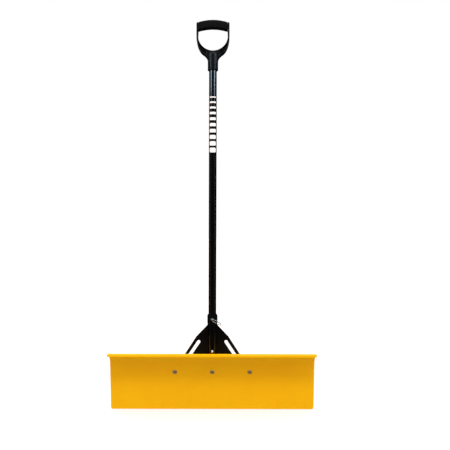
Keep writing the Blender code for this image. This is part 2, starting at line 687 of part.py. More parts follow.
def make_bail(zinc, pin):
    route = bail_route()
    curve = bpy.data.curves.new("pin_bail", "CURVE")
    curve.dimensions = "3D"
    curve.bevel_depth = BAIL_WIRE_RADIUS
    curve.bevel_resolution = 3
    curve.use_fill_caps = True
    spline = curve.splines.new("POLY")
    spline.points.add(len(route) - 1)
    for point, (x, y) in zip(spline.points, route):
        point.co = (x, y, 0, 1)
    curve.materials.append(zinc)
    bail = bpy.data.objects.new("pin_bail", curve)
    bpy.context.collection.objects.link(bail)
    bail.parent = pin
    bail.location = (0, 0, -PIN_FLANGE_HEIGHT - BAIL_PIVOT_OUT)
    bail.rotation_euler = (0, 0, BAIL_ANGLE)
    return bail


# ---------------------------------------------------------------- whole object

def main():
    clear_scene()
    yellow = make_material("yellow_poly", (0.85, 0.40, 0.01), 0.42, 0.0)
    black_steel = make_material("black_powder_coat", (0.012, 0.012, 0.012), 0.38, 0.0)
    black_plastic = make_material("black_plastic", (0.018, 0.018, 0.019), 0.45, 0.0)
    soft_black = make_material("soft_black_grip", (0.015, 0.015, 0.016), 0.65, 0.0)
    zinc = make_material("zinc_plate", (0.62, 0.62, 0.60), 0.30, 1.0)

    pusher = add_empty("snow_pusher")
    make_blade(yellow, pusher)
    make_bracket(black_steel, pusher)
    make_saddle(black_steel, pusher)
    make_blade_fasteners(zinc, pusher)
    make_handle_bolt(zinc, black_steel, pusher)

    handle = add_empty("handle", (0, HANDLE_Y, 0), parent=pusher)
    make_tube(black_steel, handle)
    make_yoke(black_plastic, handle)
    make_pad(soft_black, handle)
    make_grip_screw(zinc, handle)

    pin = make_pin(zinc, pusher)
    make_bail(zinc, pin)


main()
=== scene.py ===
"""Looks of the snow pusher: fine meshes, materials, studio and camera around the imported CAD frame."""

import math

import bmesh
import bpy
from mathutils import Matrix, Vector


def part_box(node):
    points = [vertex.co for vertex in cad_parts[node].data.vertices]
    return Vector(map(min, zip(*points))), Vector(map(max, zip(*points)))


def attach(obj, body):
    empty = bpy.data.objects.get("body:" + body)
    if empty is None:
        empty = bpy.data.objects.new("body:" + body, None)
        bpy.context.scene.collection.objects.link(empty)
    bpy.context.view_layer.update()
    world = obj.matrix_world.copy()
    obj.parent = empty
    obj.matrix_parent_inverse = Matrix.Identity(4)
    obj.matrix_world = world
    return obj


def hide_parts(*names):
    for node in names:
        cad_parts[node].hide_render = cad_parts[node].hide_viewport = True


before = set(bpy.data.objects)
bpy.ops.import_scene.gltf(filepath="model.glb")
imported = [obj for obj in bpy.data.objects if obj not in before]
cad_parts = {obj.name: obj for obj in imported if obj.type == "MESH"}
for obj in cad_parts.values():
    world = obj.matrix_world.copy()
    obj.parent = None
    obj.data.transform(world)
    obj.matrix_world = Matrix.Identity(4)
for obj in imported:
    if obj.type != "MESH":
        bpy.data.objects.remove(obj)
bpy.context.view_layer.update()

# ---------------------------------------------------------------- sizes, in metres, from the frame

BLADE_LOW, BLADE_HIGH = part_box("blade")
BLADE_HALF = (BLADE_HIGH.x - BLADE_LOW.x) / 2
BLADE_THICKNESS = 0.00635
BLADE_LEAN = math.radians(7.7)
BLADE_EDGE_DEPTH = BLADE_THICKNESS / math.cos(BLADE_LEAN)
CURL_RADIUS = 0.050
CURL_END = math.radians(95.0)
FLAT_LENGTH = 0.1723 / math.cos(BLADE_LEAN)
CURL_LENGTH = CURL_RADIUS * (CURL_END - BLADE_LEAN)
LIP_LENGTH = 0.0111
SHEET_LENGTH = FLAT_LENGTH + CURL_LENGTH + LIP_LENGTH
BLADE_BOTTOM_CORNER = 0.007
BLADE_TOP_CORNER = 0.006
BLADE_COLUMNS = 24                # strips of faces across the blade

TUBE_LOW, TUBE_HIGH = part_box("handle_tube")
TUBE_RADIUS = (TUBE_HIGH.x - TUBE_LOW.x) / 2
TUBE_Y = (TUBE_HIGH.y + TUBE_LOW.y) / 2
TUBE_WALL = 0.0016
TUBE_SLOT_RADIUS = 0.0052
TUBE_SLOT_TOP = 0.2440
DECAL_TOP = 1.1680
DECAL_BARS = 10

PLATE_LOW, PLATE_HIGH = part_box("bracket_plate")
PLATE_FRONT = PLATE_LOW.y
PLATE_THICKNESS = 0.004
PLATE_OUTLINE = (                 # right half, from the top: x, z, corner radius
    (0.0178, PLATE_HIGH.z, 0.002),
    (0.0178, 0.3199, 0.014),
    (0.0597, 0.2764, 0.012),
    (0.1003, 0.2140, 0.060),
    (0.1660, PLATE_LOW.z, 0.008),
)
PLATE_SLOT = ((0.0510, 0.2565), (0.1020, 0.1800), 0.0060)

SADDLE_LOW, SADDLE_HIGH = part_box("handle_saddle")
SADDLE_OUTER = SADDLE_HIGH.x
SADDLE_INNER = SADDLE_OUTER - 0.0032

PIN_LOW, PIN_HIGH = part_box("lock_pin")
PIN_Z = (PIN_LOW.z + PIN_HIGH.z) / 2
PIN_HOLE = 0.0036
BAIL_ANGLE = math.radians(28.5)
BAIL_WIRE = 0.00125
BAIL_LENGTH = 0.0372

YOKE_LOW, YOKE_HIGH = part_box("grip_yoke")
PAD_LOW, PAD_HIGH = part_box("grip_pad")
GRIP_TOP = PAD_HIGH.z
GRIP_HALF = YOKE_HIGH.x
GRIP_DEPTH = 0.0270
GRIP_ARC = 0.1780                 # radius of the bar's arch
BAR_HEIGHT = 0.0322
BAR_CORE_INSET = 0.0085
BAR_CORE_DEPTH = 0.0130
PAD_HALF = PAD_HIGH.x
PAD_DEPTH = PAD_HIGH.y - PAD_LOW.y
HAND_RADIUS = 0.0550
HAND_CENTRE = 1.3935
SOCKET_RADIUS = YOKE_HIGH.y - TUBE_Y
SOCKET_BOTTOM = YOKE_LOW.z

CLEAR = 0.0003                    # gap that the CAD keeps between touching pieces


# ---------------------------------------------------------------- shapes

def arc(centre, radius, start, end, steps):
    points = []
    for step in range(steps + 1):
        angle = start + (end - start) * step / steps
        points.append((centre[0] + radius * math.cos(angle), centre[1] + radius * math.sin(angle)))
    return points


def circle(centre, radius, steps=48):
    return arc(centre, radius, 0, math.tau * (steps - 1) / steps, steps - 1)


def bezier(controls, steps):
    points = []
    for step in range(steps + 1):
        t = step / steps
        weights = ((1 - t) ** 3, 3 * t * (1 - t) ** 2, 3 * t * t * (1 - t), t ** 3)
        points.append(tuple(sum(w * c[axis] for w, c in zip(weights, controls)) for axis in (0, 1)))
    return points


def rounded(corners, steps=10):
    """Outline through (x, z, radius) corners, each one rounded off by its own radius."""
    outline = []
    for index, (x, z, radius) in enumerate(corners):
        here = Vector((x, z))
        before = (Vector(corners[index - 1][:2]) - here).normalized()
        after = (Vector(corners[(index + 1) % len(corners)][:2]) - here).normalized()
        half_angle = before.angle(after) / 2
        reach = radius / math.tan(half_angle)
        centre = here + (before + after).normalized() * (radius / math.sin(half_angle))
        start = here + before * reach - centre
        turn = start.angle_signed(here + after * reach - centre)
        for step in range(steps + 1):
            outline.append(tuple(centre + Matrix.Rotation(-turn * step / steps, 2) @ start))
    return outline


def capsule(start, end, radius):
    along = math.atan2(end[1] - start[1], end[0] - start[0])
    first = arc(start, radius, along + math.pi / 2, along + math.pi * 1.5, 16)
    return first + arc(end, radius, along - math.pi / 2, along + math.pi / 2, 16)


def mirrored(right_half):
    return list(right_half) + [(-x, *rest) for x, *rest in reversed(right_half)]


def loft(sections):
    """Skin equal loops of points into one body, with a face on the first and the last loop."""
    body = bmesh.new()
    loops = [[body.verts.new(point) for point in section] for section in sections]
    body.faces.new(loops[0])
    body.faces.new(loops[-1])
    for low, high in zip(loops, loops[1:]):
        for index in range(len(low)):
            after = (index + 1) % len(low)
            body.faces.new((low[index], low[after], high[after], high[index]))
    return body


def prism(outline, low, high, axis="Y"):
    """Extrude an outline along Y (points are x, z) or along Z (points are x, y)."""
    if axis == "Y":
        return loft([[(x, low, z) for x, z in outline], [(x, high, z) for x, z in outline]])
    return loft([[(x, y, low) for x, y in outline], [(x, y, high) for x, y in outline]])


def turned(profile, steps=64):
    """Turn (radius, z) points about Z. A profile that starts on the axis also ends on it."""
    body = bmesh.new()
    rings = []
    for radius, z in profile:
        if radius == 0:
            rings.append([body.verts.new((0, 0, z))])
            continue
        angles = [math.tau * step / steps for step in range(steps)]
        rings.append([body.verts.new((radius * math.cos(a), radius * math.sin(a), z)) for a in angles])
    pairs = list(zip(rings, rings[1:]))
    if profile[0][0] != 0:
        pairs.append((rings[-1], rings[0]))
    for low, high in pairs:
        for step in range(steps):
            after = (step + 1) % steps
            corners = [low[step % len(low)], low[after % len(low)],
                       high[after % len(high)], high[step % len(high)]]
            body.faces.new(list(dict.fromkeys(corners)))
    return body


def swept(path, radii, steps):
    """Round tube through 3-D points, with a radius for each point, closed at both ends."""
    sections = []
    for index, point in enumerate(path):
        before = Vector(path[max(index - 1, 0)])
        after = Vector(path[min(index + 1, len(path) - 1)])
        turn = (after - before).to_track_quat("Z", "Y")
        flat = circle((0, 0), 1, steps)
        ring = [turn @ Vector((radii[index] * x, radii[index] * y, 0)) for x, y in flat]
        sections.append([tuple(Vector(point) + offset) for offset in ring])
    return loft(sections)


def to_mesh(body, name):
    bmesh.ops.recalc_face_normals(body, faces=body.faces)
    mesh = bpy.data.meshes.new(name)
    body.to_mesh(mesh)
    body.free()
    return mesh


def add_object(name, body, location=(0, 0, 0), rotation=(0, 0, 0)):
    obj = bpy.data.objects.new(name, to_mesh(body, name))
    bpy.context.scene.collection.objects.link(obj)
    obj.location = location
    obj.rotation_euler = rotation
    return obj


def moved(body, matrix):
    bmesh.ops.transform(body, matrix=matrix, verts=body.verts)
    return body


def joined(*bodies):
    whole = bmesh.new()
    for body in bodies:
        mesh = to_mesh(body, "joined")
        whole.from_mesh(mesh)
        bpy.data.meshes.remove(mesh)
    return whole


def combine(obj, body, operation="DIFFERENCE"):
    """Boolean obj with a body made in obj's own space, and apply it."""
    tool = bpy.data.objects.new("tool", to_mesh(body, "tool"))
    bpy.context.scene.collection.objects.link(tool)
    tool.matrix_world = obj.matrix_basis
    modifier = obj.modifiers.new("Boolean", "BOOLEAN")
    modifier.operation = operation
    modifier.object = tool
    apply_modifiers(obj)
    mesh = tool.data
    bpy.data.objects.remove(tool)
    bpy.data.meshes.remove(mesh)


def apply_modifiers(obj):
    bpy.context.view_layer.update()
    evaluated = obj.evaluated_get(bpy.context.evaluated_depsgraph_get())
    mesh = bpy.data.meshes.new_from_object(evaluated)
    old = obj.data
    obj.modifiers.clear()
    obj.data = mesh
    bpy.data.meshes.remove(old)


def round_edges(obj, width, segments=3):
    """Bevelled edges and even shading on the flats."""
    modifier = obj.modifiers.new("Bevel", "BEVEL")
    modifier.width = width
    modifier.segments = segments
    modifier.limit_method = "ANGLE"
    modifier.angle_limit = math.radians(35)
    apply_modifiers(obj)
    smooth(obj)
    even = obj.modifiers.new("Weighted Normal", "WEIGHTED_NORMAL")
    even.keep_sharp = True


def smooth(obj, angle=40):
    obj.data.shade_smooth()
    obj.data.set_sharp_from_angle(angle=math.radians(angle))
    return obj


# ---------------------------------------------------------------- blade

def sheet_point(along, depth):
    """(y, z) of the sheet at a length along its front face and a depth behind that face."""
    angle = BLADE_LEAN + min(max(along - FLAT_LENGTH, 0) / CURL_RADIUS, CURL_END - BLADE_LEAN)
    y = -BLADE_EDGE_DEPTH / 2 - math.sin(BLADE_LEAN) * min(along, FLAT_LENGTH)
    z = math.cos(BLADE_LEAN) * min(along, FLAT_LENGTH)
    y += CURL_RADIUS * (math.cos(angle) - math.cos(BLADE_LEAN))
    z += CURL_RADIUS * (math.sin(angle) - math.sin(BLADE_LEAN))
    past_curl = max(along - FLAT_LENGTH - CURL_LENGTH, 0)
    y += depth * math.cos(angle) - past_curl * math.sin(angle)
    z += depth * math.sin(angle) + past_curl * math.cos(angle)
    return y, z


def blade_rows():
    """(length along the sheet, half width) pairs from the scraping edge to the lip."""
    bottom = (BLADE_HALF - BLADE_BOTTOM_CORNER, BLADE_BOTTOM_CORNER)
    rows = [(along, x) for x, along in arc(bottom, BLADE_BOTTOM_CORNER, -math.pi / 2, 0, 12)]
    flat = [BLADE_BOTTOM_CORNER + (FLAT_LENGTH - BLADE_BOTTOM_CORNER) * step / 8 for step in range(1, 9)]
    rows += [(along, BLADE_HALF) for along in flat]
    rows += [(FLAT_LENGTH + CURL_LENGTH * step / 32, BLADE_HALF) for step in range(1, 33)]
    top = (BLADE_HALF - BLADE_TOP_CORNER, SHEET_LENGTH - BLADE_TOP_CORNER)
    rows += [(along, x) for x, along in arc(top, BLADE_TOP_CORNER, 0, math.pi / 2, 8)]
    return rows


def make_blade():
    sections = []
    shares = [2 * column / BLADE_COLUMNS - 1 for column in range(BLADE_COLUMNS + 1)]
    for along, half in blade_rows():
        front = sheet_point(along, 0)
        back = sheet_point(along, BLADE_THICKNESS)
        if along < BLADE_THICKNESS * math.tan(BLADE_LEAN):
            back = (front[0] + BLADE_EDGE_DEPTH, front[1])
        row = [(half * share, *front) for share in shares]
        sections.append(row + [(half * share, *back) for share in reversed(shares)])
    blade = add_object("blade_sheet", loft(sections))
    round_edges(blade, 0.0011)
    return blade


# ---------------------------------------------------------------- bracket, saddle and welds

def flange_profile():
    """(y, z) section of the bent plate, longer than its outline at both ends."""
    bend_z = (BLADE_EDGE_DEPTH / 2 + CLEAR / math.cos(BLADE_LEAN) - PLATE_FRONT) / math.tan(BLADE_LEAN)
    low_z = PLATE_LOW.z - 0.02
    high_z = PLATE_HIGH.z + 0.02
    inner = 0.010                 # bend radius at the back of the plate
    outer = inner + PLATE_THICKNESS
    reach = outer * math.tan(BLADE_LEAN / 2)
    centre = (PLATE_FRONT + outer, bend_z + reach)
    front_arc = arc(centre, outer, math.pi, math.pi + BLADE_LEAN, 5)
    back_arc = arc(centre, inner, math.pi + BLADE_LEAN, math.pi, 5)
    slope = math.tan(BLADE_LEAN)
    low_front = (front_arc[-1][0] + (front_arc[-1][1] - low_z) * slope, low_z)
    low_back = (back_arc[0][0] + (back_arc[0][1] - low_z) * slope, low_z)
    high = [(PLATE_FRONT + PLATE_THICKNESS, high_z), (PLATE_FRONT, high_z)]
    return front_arc + [low_front, low_back] + back_arc + high


def make_bracket():
    reach = PLATE_OUTLINE[-1][0] + 0.02
    profile = flange_profile()
    plate = add_object("bracket_steel", loft([[(x, y, z) for y, z in profile] for x in (-reach, reach)]))
    shape = rounded(mirrored(PLATE_OUTLINE))
    combine(plate, prism(shape, PLATE_FRONT - 0.02, PLATE_FRONT + 0.04), "INTERSECT")
    (top_x, top_z), (low_x, low_z), radius = PLATE_SLOT
    front, back = PLATE_FRONT - 0.01, PLATE_FRONT + 0.03
    holes = [prism(capsule((s * top_x, top_z), (s * low_x, low_z), radius), front, back) for s in (-1, 1)]
    holes.append(prism(circle((0, PIN_Z), PIN_HOLE), front, back))
    combine(plate, joined(*holes))
    round_edges(plate, 0.0005)
    return plate


def make_saddle():
    leg_end = PLATE_FRONT - CLEAR - TUBE_Y
    outline = [(SADDLE_OUTER, leg_end)] + arc((0, 0), SADDLE_OUTER, 0, -math.pi, 48)
    outline += [(-SADDLE_OUTER, leg_end), (-SADDLE_INNER, leg_end)]
    outline += arc((0, 0), SADDLE_INNER, -math.pi, 0, 48) + [(SADDLE_INNER, leg_end)]
    strap = prism(outline, SADDLE_LOW.z, SADDLE_HIGH.z, "Z")
    saddle = add_object("saddle_strap", strap, (0, TUBE_Y, 0))
    combine(saddle, prism(circle((0, PIN_Z), PIN_HOLE), -0.025, -0.005))
    round_edges(saddle, 0.0006)
    return saddle


def make_weld(side):
    """Bead of overlapping ripples down the seam between strap and plate."""
    x = side * (SADDLE_OUTER - 0.0004)
    y = PLATE_FRONT - 0.0006
    count = 60
    path = []
    radii = []
    for step in range(count + 1):
        share = step / count
        path.append((x, y, SADDLE_LOW.z + 0.002 + (SADDLE_HIGH.z - SADDLE_LOW.z - 0.004) * share))
        ends = min(1.0, 6 * share + 0.25, 6 * (1 - share) + 0.25)
        radii.append(0.0016 * ends * (1 + 0.16 * abs(math.sin(math.pi * share * 15))))
    name = "weld_" + ("left" if side < 0 else "right")
    return smooth(add_object(name, swept(path, radii, 16)), 70)


# ---------------------------------------------------------------- handle tube

def make_tube():
    inner = TUBE_RADIUS - TUBE_WALL
    levels = [TUBE_LOW.z + (TUBE_HIGH.z - TUBE_LOW.z) * step / 12 for step in range(13)]
    profile = [(TUBE_RADIUS, z) for z in levels] + [(inner, z) for z in reversed(levels)]
    tube = add_object("tube_shell", turned(profile, 96), (0, TUBE_Y, 0))
    bottom = (0, TUBE_LOW.z - TUBE_SLOT_RADIUS * 2)       # the slot runs out of the tube's end
    slot = capsule((0, TUBE_SLOT_TOP - TUBE_SLOT_RADIUS), bottom, TUBE_SLOT_RADIUS)
    holes = joined(prism(slot, -0.02, 0.02), prism(circle((0, PIN_Z), PIN_HOLE), -0.02, 0.02))
    combine(tube, holes)
    round_edges(tube, 0.0003, 2)
    return tube


def make_decal():
    """Plain white bars printed down the front of the tube, from thin at the top to thick."""
    lift = 0.00012
    radius = TUBE_RADIUS + lift
    half_width = radius * math.radians(52)
    bars = []
    top = DECAL_TOP
    for step in range(DECAL_BARS):
        low = top - (0.0042 + 0.0015 * step)
        bars.append(wrapped_bar(half_width, low, top, radius, lift * 0.8))
        top = low - (0.0140 - 0.0008 * step)
    return smooth(add_object("tube_decal", joined(*bars), (0, TUBE_Y, 0)), 50)


def wrapped_bar(half_width, low, top, radius, thickness):
    """Thin bar with rounded corners, wrapped round the front of a cylinder."""
    corner = (top - low) * 0.3
    flat = half_width - corner
    columns = [(flat * step / 5, 0.0) for step in range(-5, 6)]
    bend = arc((flat, corner), corner, -math.pi / 2, 0, 4)[1:]
    columns = [(-x, inset) for x, inset in reversed(bend)] + columns + bend
    sections = []
    for x, inset in columns:
        across, out = math.sin(x / radius), -math.cos(x / radius)
        section = []
        for reach, z in ((radius, top - inset), (radius, low + inset),
                         (radius - thickness, low + inset), (radius - thickness, top - inset)):
            section.append((reach * across, reach * out, z))
        sections.append(section)
    return loft(sections)


# ---------------------------------------------------------------- D-grip

# Bezier curves, in x and z, down the grip's outer edge
GRIP_SHOULDER = ((GRIP_HALF, 1.3920), (GRIP_HALF, 1.3660), (0.0530, 1.3380), (0.0370, 1.3265))
GRIP_NECK = ((0.0370, 1.3265), (0.0262, 1.3188), (0.0195, 1.3120), (0.01925, 1.3010))
GRIP_NECK_END = (0.0115, 1.2860)                         # inside the socket
SOCKET_SHOULDER = ((SOCKET_RADIUS, 1.3210), (SOCKET_RADIUS, 1.3290), (0.0175, 1.3355), (0.0120, 1.3375))
POCKET_DEPTH = 0.0070
POCKET_RIM = 0.0032
POCKET_FROM, POCKET_TO = 0.0225, 0.0540                  # x of its two ends


def arch_drop(x):
    """How far the grip's bar falls away at x from its middle."""
    return GRIP_ARC - math.sqrt(GRIP_ARC ** 2 - x * x)


def yoke_outline():
    """Right half of the grip's outer outline, from the middle of the bar's core down."""
    core_top = GRIP_TOP - BAR_CORE_INSET
    inside = PAD_HALF + CLEAR
    points = [(inside * step / 12, core_top - arch_drop(inside * step / 12)) for step in range(1, 13)]
    top = GRIP_TOP - arch_drop(inside)
    points += [(inside, top - 0.0016), (GRIP_HALF - 0.0012, top - 0.0036), (GRIP_HALF, top - 0.0054)]
    points += bezier(GRIP_SHOULDER, 24) + bezier(GRIP_NECK, 12)[1:]
    points.append(GRIP_NECK_END)
    return points


def hand_hole_outline():
    """Right half of the opening, from the middle of the core's underside down."""
    core_bottom = GRIP_TOP - BAR_HEIGHT + BAR_CORE_INSET
    inside = PAD_HALF + CLEAR
    points = [(inside * step / 12, core_bottom - arch_drop(inside * step / 12)) for step in range(1, 13)]
    points.append((inside, GRIP_TOP - BAR_HEIGHT - arch_drop(inside)))
    points += arc((0, HAND_CENTRE), HAND_RADIUS, math.radians(8), -math.pi / 2, 40)[:-1]
    return points


def pocket_outline():
    """Recess in the right lower arm, with a rim left on both sides of it."""
    edge = bezier(GRIP_SHOULDER, 30) + bezier(GRIP_NECK, 16)[1:]
    outer = []
    for before, here, after in zip(edge, edge[1:], edge[2:]):
        along = (Vector(after) - Vector(before)).normalized()
        inward = Vector(here) + Vector((along.y, -along.x)) * POCKET_RIM
        if POCKET_FROM < inward.x < POCKET_TO - 0.001:
            outer.append(tuple(inward))
    radius = HAND_RADIUS + POCKET_RIM
    start, end = -math.acos(POCKET_FROM / radius), -math.acos(POCKET_TO / radius)
    return arc((0, HAND_CENTRE), radius, start, end, 20) + outer


def make_yoke():
    half = GRIP_DEPTH / 2
    yoke = add_object("yoke_moulding", prism(mirrored(yoke_outline()), -half, half), (0, TUBE_Y, 0))
    combine(yoke, prism(mirrored(hand_hole_outline()), -half - 0.01, half + 0.01))
    shoulder = bezier(SOCKET_SHOULDER, 10)
    socket = [(0, SOCKET_BOTTOM), (SOCKET_RADIUS, SOCKET_BOTTOM)] + shoulder + [(0, shoulder[-1][1])]
    combine(yoke, turned(socket, 96), "UNION")
    reach = PAD_HALF + CLEAR
    block = [(-reach, HAND_CENTRE + 0.014), (reach, HAND_CENTRE + 0.014), (reach, GRIP_TOP + 0.01),
             (-reach, GRIP_TOP + 0.01)]
    core = BAR_CORE_DEPTH / 2
    cuts = [prism(block, core, half + 0.01), prism(block, -half - 0.01, -core)]
    for side in (-1, 1):
        outline = [(side * x, z) for x, z in pocket_outline()]
        cuts.append(prism(outline, half - POCKET_DEPTH, half + 0.01))
        cuts.append(prism(outline, -half - 0.01, POCKET_DEPTH - half))
    bore = TUBE_RADIUS + CLEAR
    top = TUBE_HIGH.z + CLEAR
    cuts.append(turned([(0, SOCKET_BOTTOM - 0.01), (bore, SOCKET_BOTTOM - 0.01), (bore, top), (0, top)]))
    combine(yoke, joined(*cuts))
    soften(yoke, 0.0008, 5)
    return yoke


def soften(obj, voxel, passes):
    """Blend all edges as moulding radii do: remesh evenly, then smooth."""
    remesh = obj.modifiers.new("Remesh", "REMESH")
    remesh.mode = "VOXEL"
    remesh.voxel_size = voxel
    relax = obj.modifiers.new("Smooth", "CORRECTIVE_SMOOTH")
    relax.iterations = passes
    relax.use_only_smooth = True
    apply_modifiers(obj)
    obj.data.shade_smooth()


def pad_section(x, swell):
    """(y, z) section of the soft bar at x: crowned top, flat front and back, round underside."""
    half = PAD_DEPTH / 2 - 0.0004 + swell
    top = GRIP_TOP - arch_drop(x)
    corners = [(half * 0.62, top - 0.0004 + swell, 0.0090), (half, top - 0.0092, 0.0040),
               (half, top - BAR_HEIGHT + 0.0004, 0.0048)]
    return [(x, y, z) for y, z in rounded(mirrored(corners), 8)]


def make_pad():
    """Soft cover with rounded ends, hollow where the bar's core runs through it."""
    count = 60
    sections = []
    for step in range(count + 1):
        swell = {0: -0.0009, 1: -0.0003}.get(min(step, count - step), 0.0)
        x = PAD_HALF if step == count else -PAD_HALF + 2 * PAD_HALF * step / count
        sections.append(pad_section(x, swell))
    pad = add_object("pad_soft", loft(sections), (0, TUBE_Y, 0))
    space = BAR_CORE_DEPTH / 2 + CLEAR
    places = [PAD_HALF * (step / 8 - 1) for step in range(17)]
    ring = []
    for x in [-PAD_HALF - 0.005] + places + [PAD_HALF + 0.005]:
        top = GRIP_TOP - BAR_CORE_INSET + CLEAR - arch_drop(x)
        bottom = GRIP_TOP - BAR_HEIGHT + BAR_CORE_INSET - CLEAR - arch_drop(x)
        ring.append([(x, space, top), (x, space, bottom), (x, -space, bottom), (x, -space, top)])
    combine(pad, loft(ring))
    smooth(pad, 50)
    return pad


# ---------------------------------------------------------------- fasteners

FACING_BACK = (-math.pi / 2, 0, 0)                        # turns local +Z to world +Y
SQUARE_TO_SHEET = (-math.pi / 2 + BLADE_LEAN, 0, 0)       # turns local +Z square to the flat face
WASHER_EDGE = 0.00025
BLADE_BOLT_Z = 0.1444
BLADE_BOLT_RADIUS = 0.00395
BLADE_BOLT_HEAD = (0.0086, 0.0038, 0.0004)                # radius, height, rim
BLADE_WASHER = (0.0043, 0.0095, 0.0016)                   # hole radius, outer radius, thickness
BLADE_NUT = (0.0127, 0.0042, 0.0068)                      # across the flats, bore radius, height
HANDLE_BOLT_RADIUS = 0.0031
HANDLE_BOLT_HEAD = (0.0052, 0.0032, 0.0004)
HANDLE_WASHER = (0.0034, 0.0082, 0.0015)
HANDLE_NUT = (0.0100, 0.0033, 0.0052)
SPACER_RADIUS = 0.0048
GRIP_SCREW_RADIUS = 0.0021
PIN_RADIUS = 0.00318
PIN_FLANGE_RADIUS = 0.0052
PIN_FLANGE = 0.0025                                       # thickness
PIN_TANG_HALF = 0.0042
PIN_TANG_LENGTH = 0.0078
PIN_TANG_THICKNESS = 0.0040
BAIL_PIVOT_OUT = 0.0042                                   # from the flange's face to the cross hole
BAIL_PIVOT_HOLE = 0.0016


def dome(radius, height, rim, steps=10):
    """(radius, z) points of a round head that rises towards -Z from a rim that ends at z = 0."""
    sphere = (radius ** 2 + height ** 2) / (2 * height)
    angle = math.asin(min(1, radius / sphere))
    turns = [angle * step / steps for step in range(steps + 1)]
    points = [(sphere * math.sin(a), sphere - height - rim - sphere * math.cos(a)) for a in turns]
    return points + [(radius, -0.0001), (radius - 0.0003, 0)]


def threads(radius, start, end, pitch):
    """(radius, z) points of a threaded length, crest and root by turns."""
    count = int((end - start) / pitch)
    points = []
    for turn in range(count):
        z = start + turn * pitch
        points += [(radius, z + pitch * 0.15), (radius * 0.86, z + pitch * 0.55),
                   (radius, z + pitch * 0.95)]
    return points


def make_screw(name, head, radius, length, thread_from, pitch, place, turn):
    profile = head + [(radius, 0), (radius, thread_from)]
    profile += threads(radius, thread_from, length - pitch, pitch)
    profile += [(radius * 0.80, length), (0, length)]
    return smooth(add_object(name, turned(profile, 40), place, turn), 45)


def make_washer(name, size, start, place, turn):
    inner, outer, thickness = size
    end = start + thickness
    profile = [(inner, start), (outer - WASHER_EDGE, start), (outer, start + WASHER_EDGE),
               (outer, end - WASHER_EDGE), (outer - WASHER_EDGE, end), (inner, end)]
    return smooth(add_object(name, turned(profile, 48), place, turn), 50)


def make_nut(name, size, start, place, turn):
    """Hexagon with chamfered corners on both faces."""
    flats, bore, height = size
    corner = flats / 2 / math.cos(math.pi / 6)
    angles = [math.pi / 3 * step for step in range(6)]
    hexagon = [(corner * math.cos(angle), corner * math.sin(angle)) for angle in angles]
    nut = add_object(name, prism(hexagon, start, start + height, "Z"), place, turn)
    slope = (corner - flats / 2) * 0.62
    end = start + height
    cone = [(0, start), (flats / 2 * 0.97, start), (corner + 0.0002, start + slope),
            (corner + 0.0002, end - slope), (flats / 2 * 0.97, end), (0, end)]
    combine(nut, turned(cone, 64), "INTERSECT")
    hole = [(0, start - 0.001), (bore + 0.0005, start - 0.001), (bore, start + 0.0006),
            (bore, end - 0.0006), (bore + 0.0005, end + 0.001), (0, end + 0.001)]
    combine(nut, turned(hole, 48))
    return smooth(nut, 25)


def make_blade_fasteners():
    pieces = []
    stack = BLADE_THICKNESS + CLEAR + PLATE_THICKNESS
    behind_washer = stack + BLADE_WASHER[2]
    end = behind_washer + BLADE_NUT[2] + 0.0036
    head = [(r, z - CLEAR * 0.5) for r, z in dome(*BLADE_BOLT_HEAD)]
    turn = SQUARE_TO_SHEET
    for side in ("left", "centre", "right"):
        low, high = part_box("blade_bolt_" + side)
        place = ((low.x + high.x) / 2, *sheet_point(BLADE_BOLT_Z / math.cos(BLADE_LEAN), 0))
        bolt = make_screw("bolt_" + side, head, BLADE_BOLT_RADIUS, end, stack + 0.001, 0.0014, place, turn)
        washer = make_washer("washer_" + side, BLADE_WASHER, stack + CLEAR, place, turn)
        nut = make_nut("nut_" + side, BLADE_NUT, behind_washer + CLEAR * 2, place, turn)
        pieces += [(bolt, "blade_bolt_" + side), (washer, "blade_washer_" + side),
                   (nut, "blade_nut_" + side)]
    return pieces


def make_handle_bolt():
    low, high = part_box("handle_bolt")
    place = (0, PLATE_FRONT, (low.z + high.z) / 2)
    turn = FACING_BACK
    bore, washer_thickness = HANDLE_WASHER[0], HANDLE_WASHER[2]
    radius = HANDLE_BOLT_RADIUS
    spacer_front = -2 * (TUBE_RADIUS + CLEAR) - CLEAR
    washer_front = spacer_front - CLEAR - washer_thickness
    head_back = washer_front - CLEAR * 0.5
    head = [(r, z + head_back) for r, z in dome(*HANDLE_BOLT_HEAD)]
    end = high.y - PLATE_FRONT
    profile = head + [(radius, head_back), (radius, PLATE_THICKNESS)]
    profile += threads(radius, PLATE_THICKNESS + 0.002, end - 0.001, 0.001) + [(0.0024, end), (0, end)]
    bolt = smooth(add_object("low_bolt", turned(profile, 40), place, turn), 45)
    spacer_size = (bore, SPACER_RADIUS, -CLEAR - spacer_front)
    spacer = make_washer("low_spacer", spacer_size, spacer_front, place, turn)
    front = make_washer("low_washer_front", HANDLE_WASHER, washer_front, place, turn)
    rear = make_washer("low_washer_rear", HANDLE_WASHER, PLATE_THICKNESS + CLEAR, place, turn)
    nut_start = PLATE_THICKNESS + washer_thickness + CLEAR * 2
    nut = make_nut("low_nut", HANDLE_NUT, nut_start, place, turn)
    return [(bolt, "handle_bolt"), (spacer, "handle_bolt_spacer"), (front, "handle_bolt_washer_front"),
            (rear, "handle_bolt_washer_rear"), (nut, "handle_nut")]


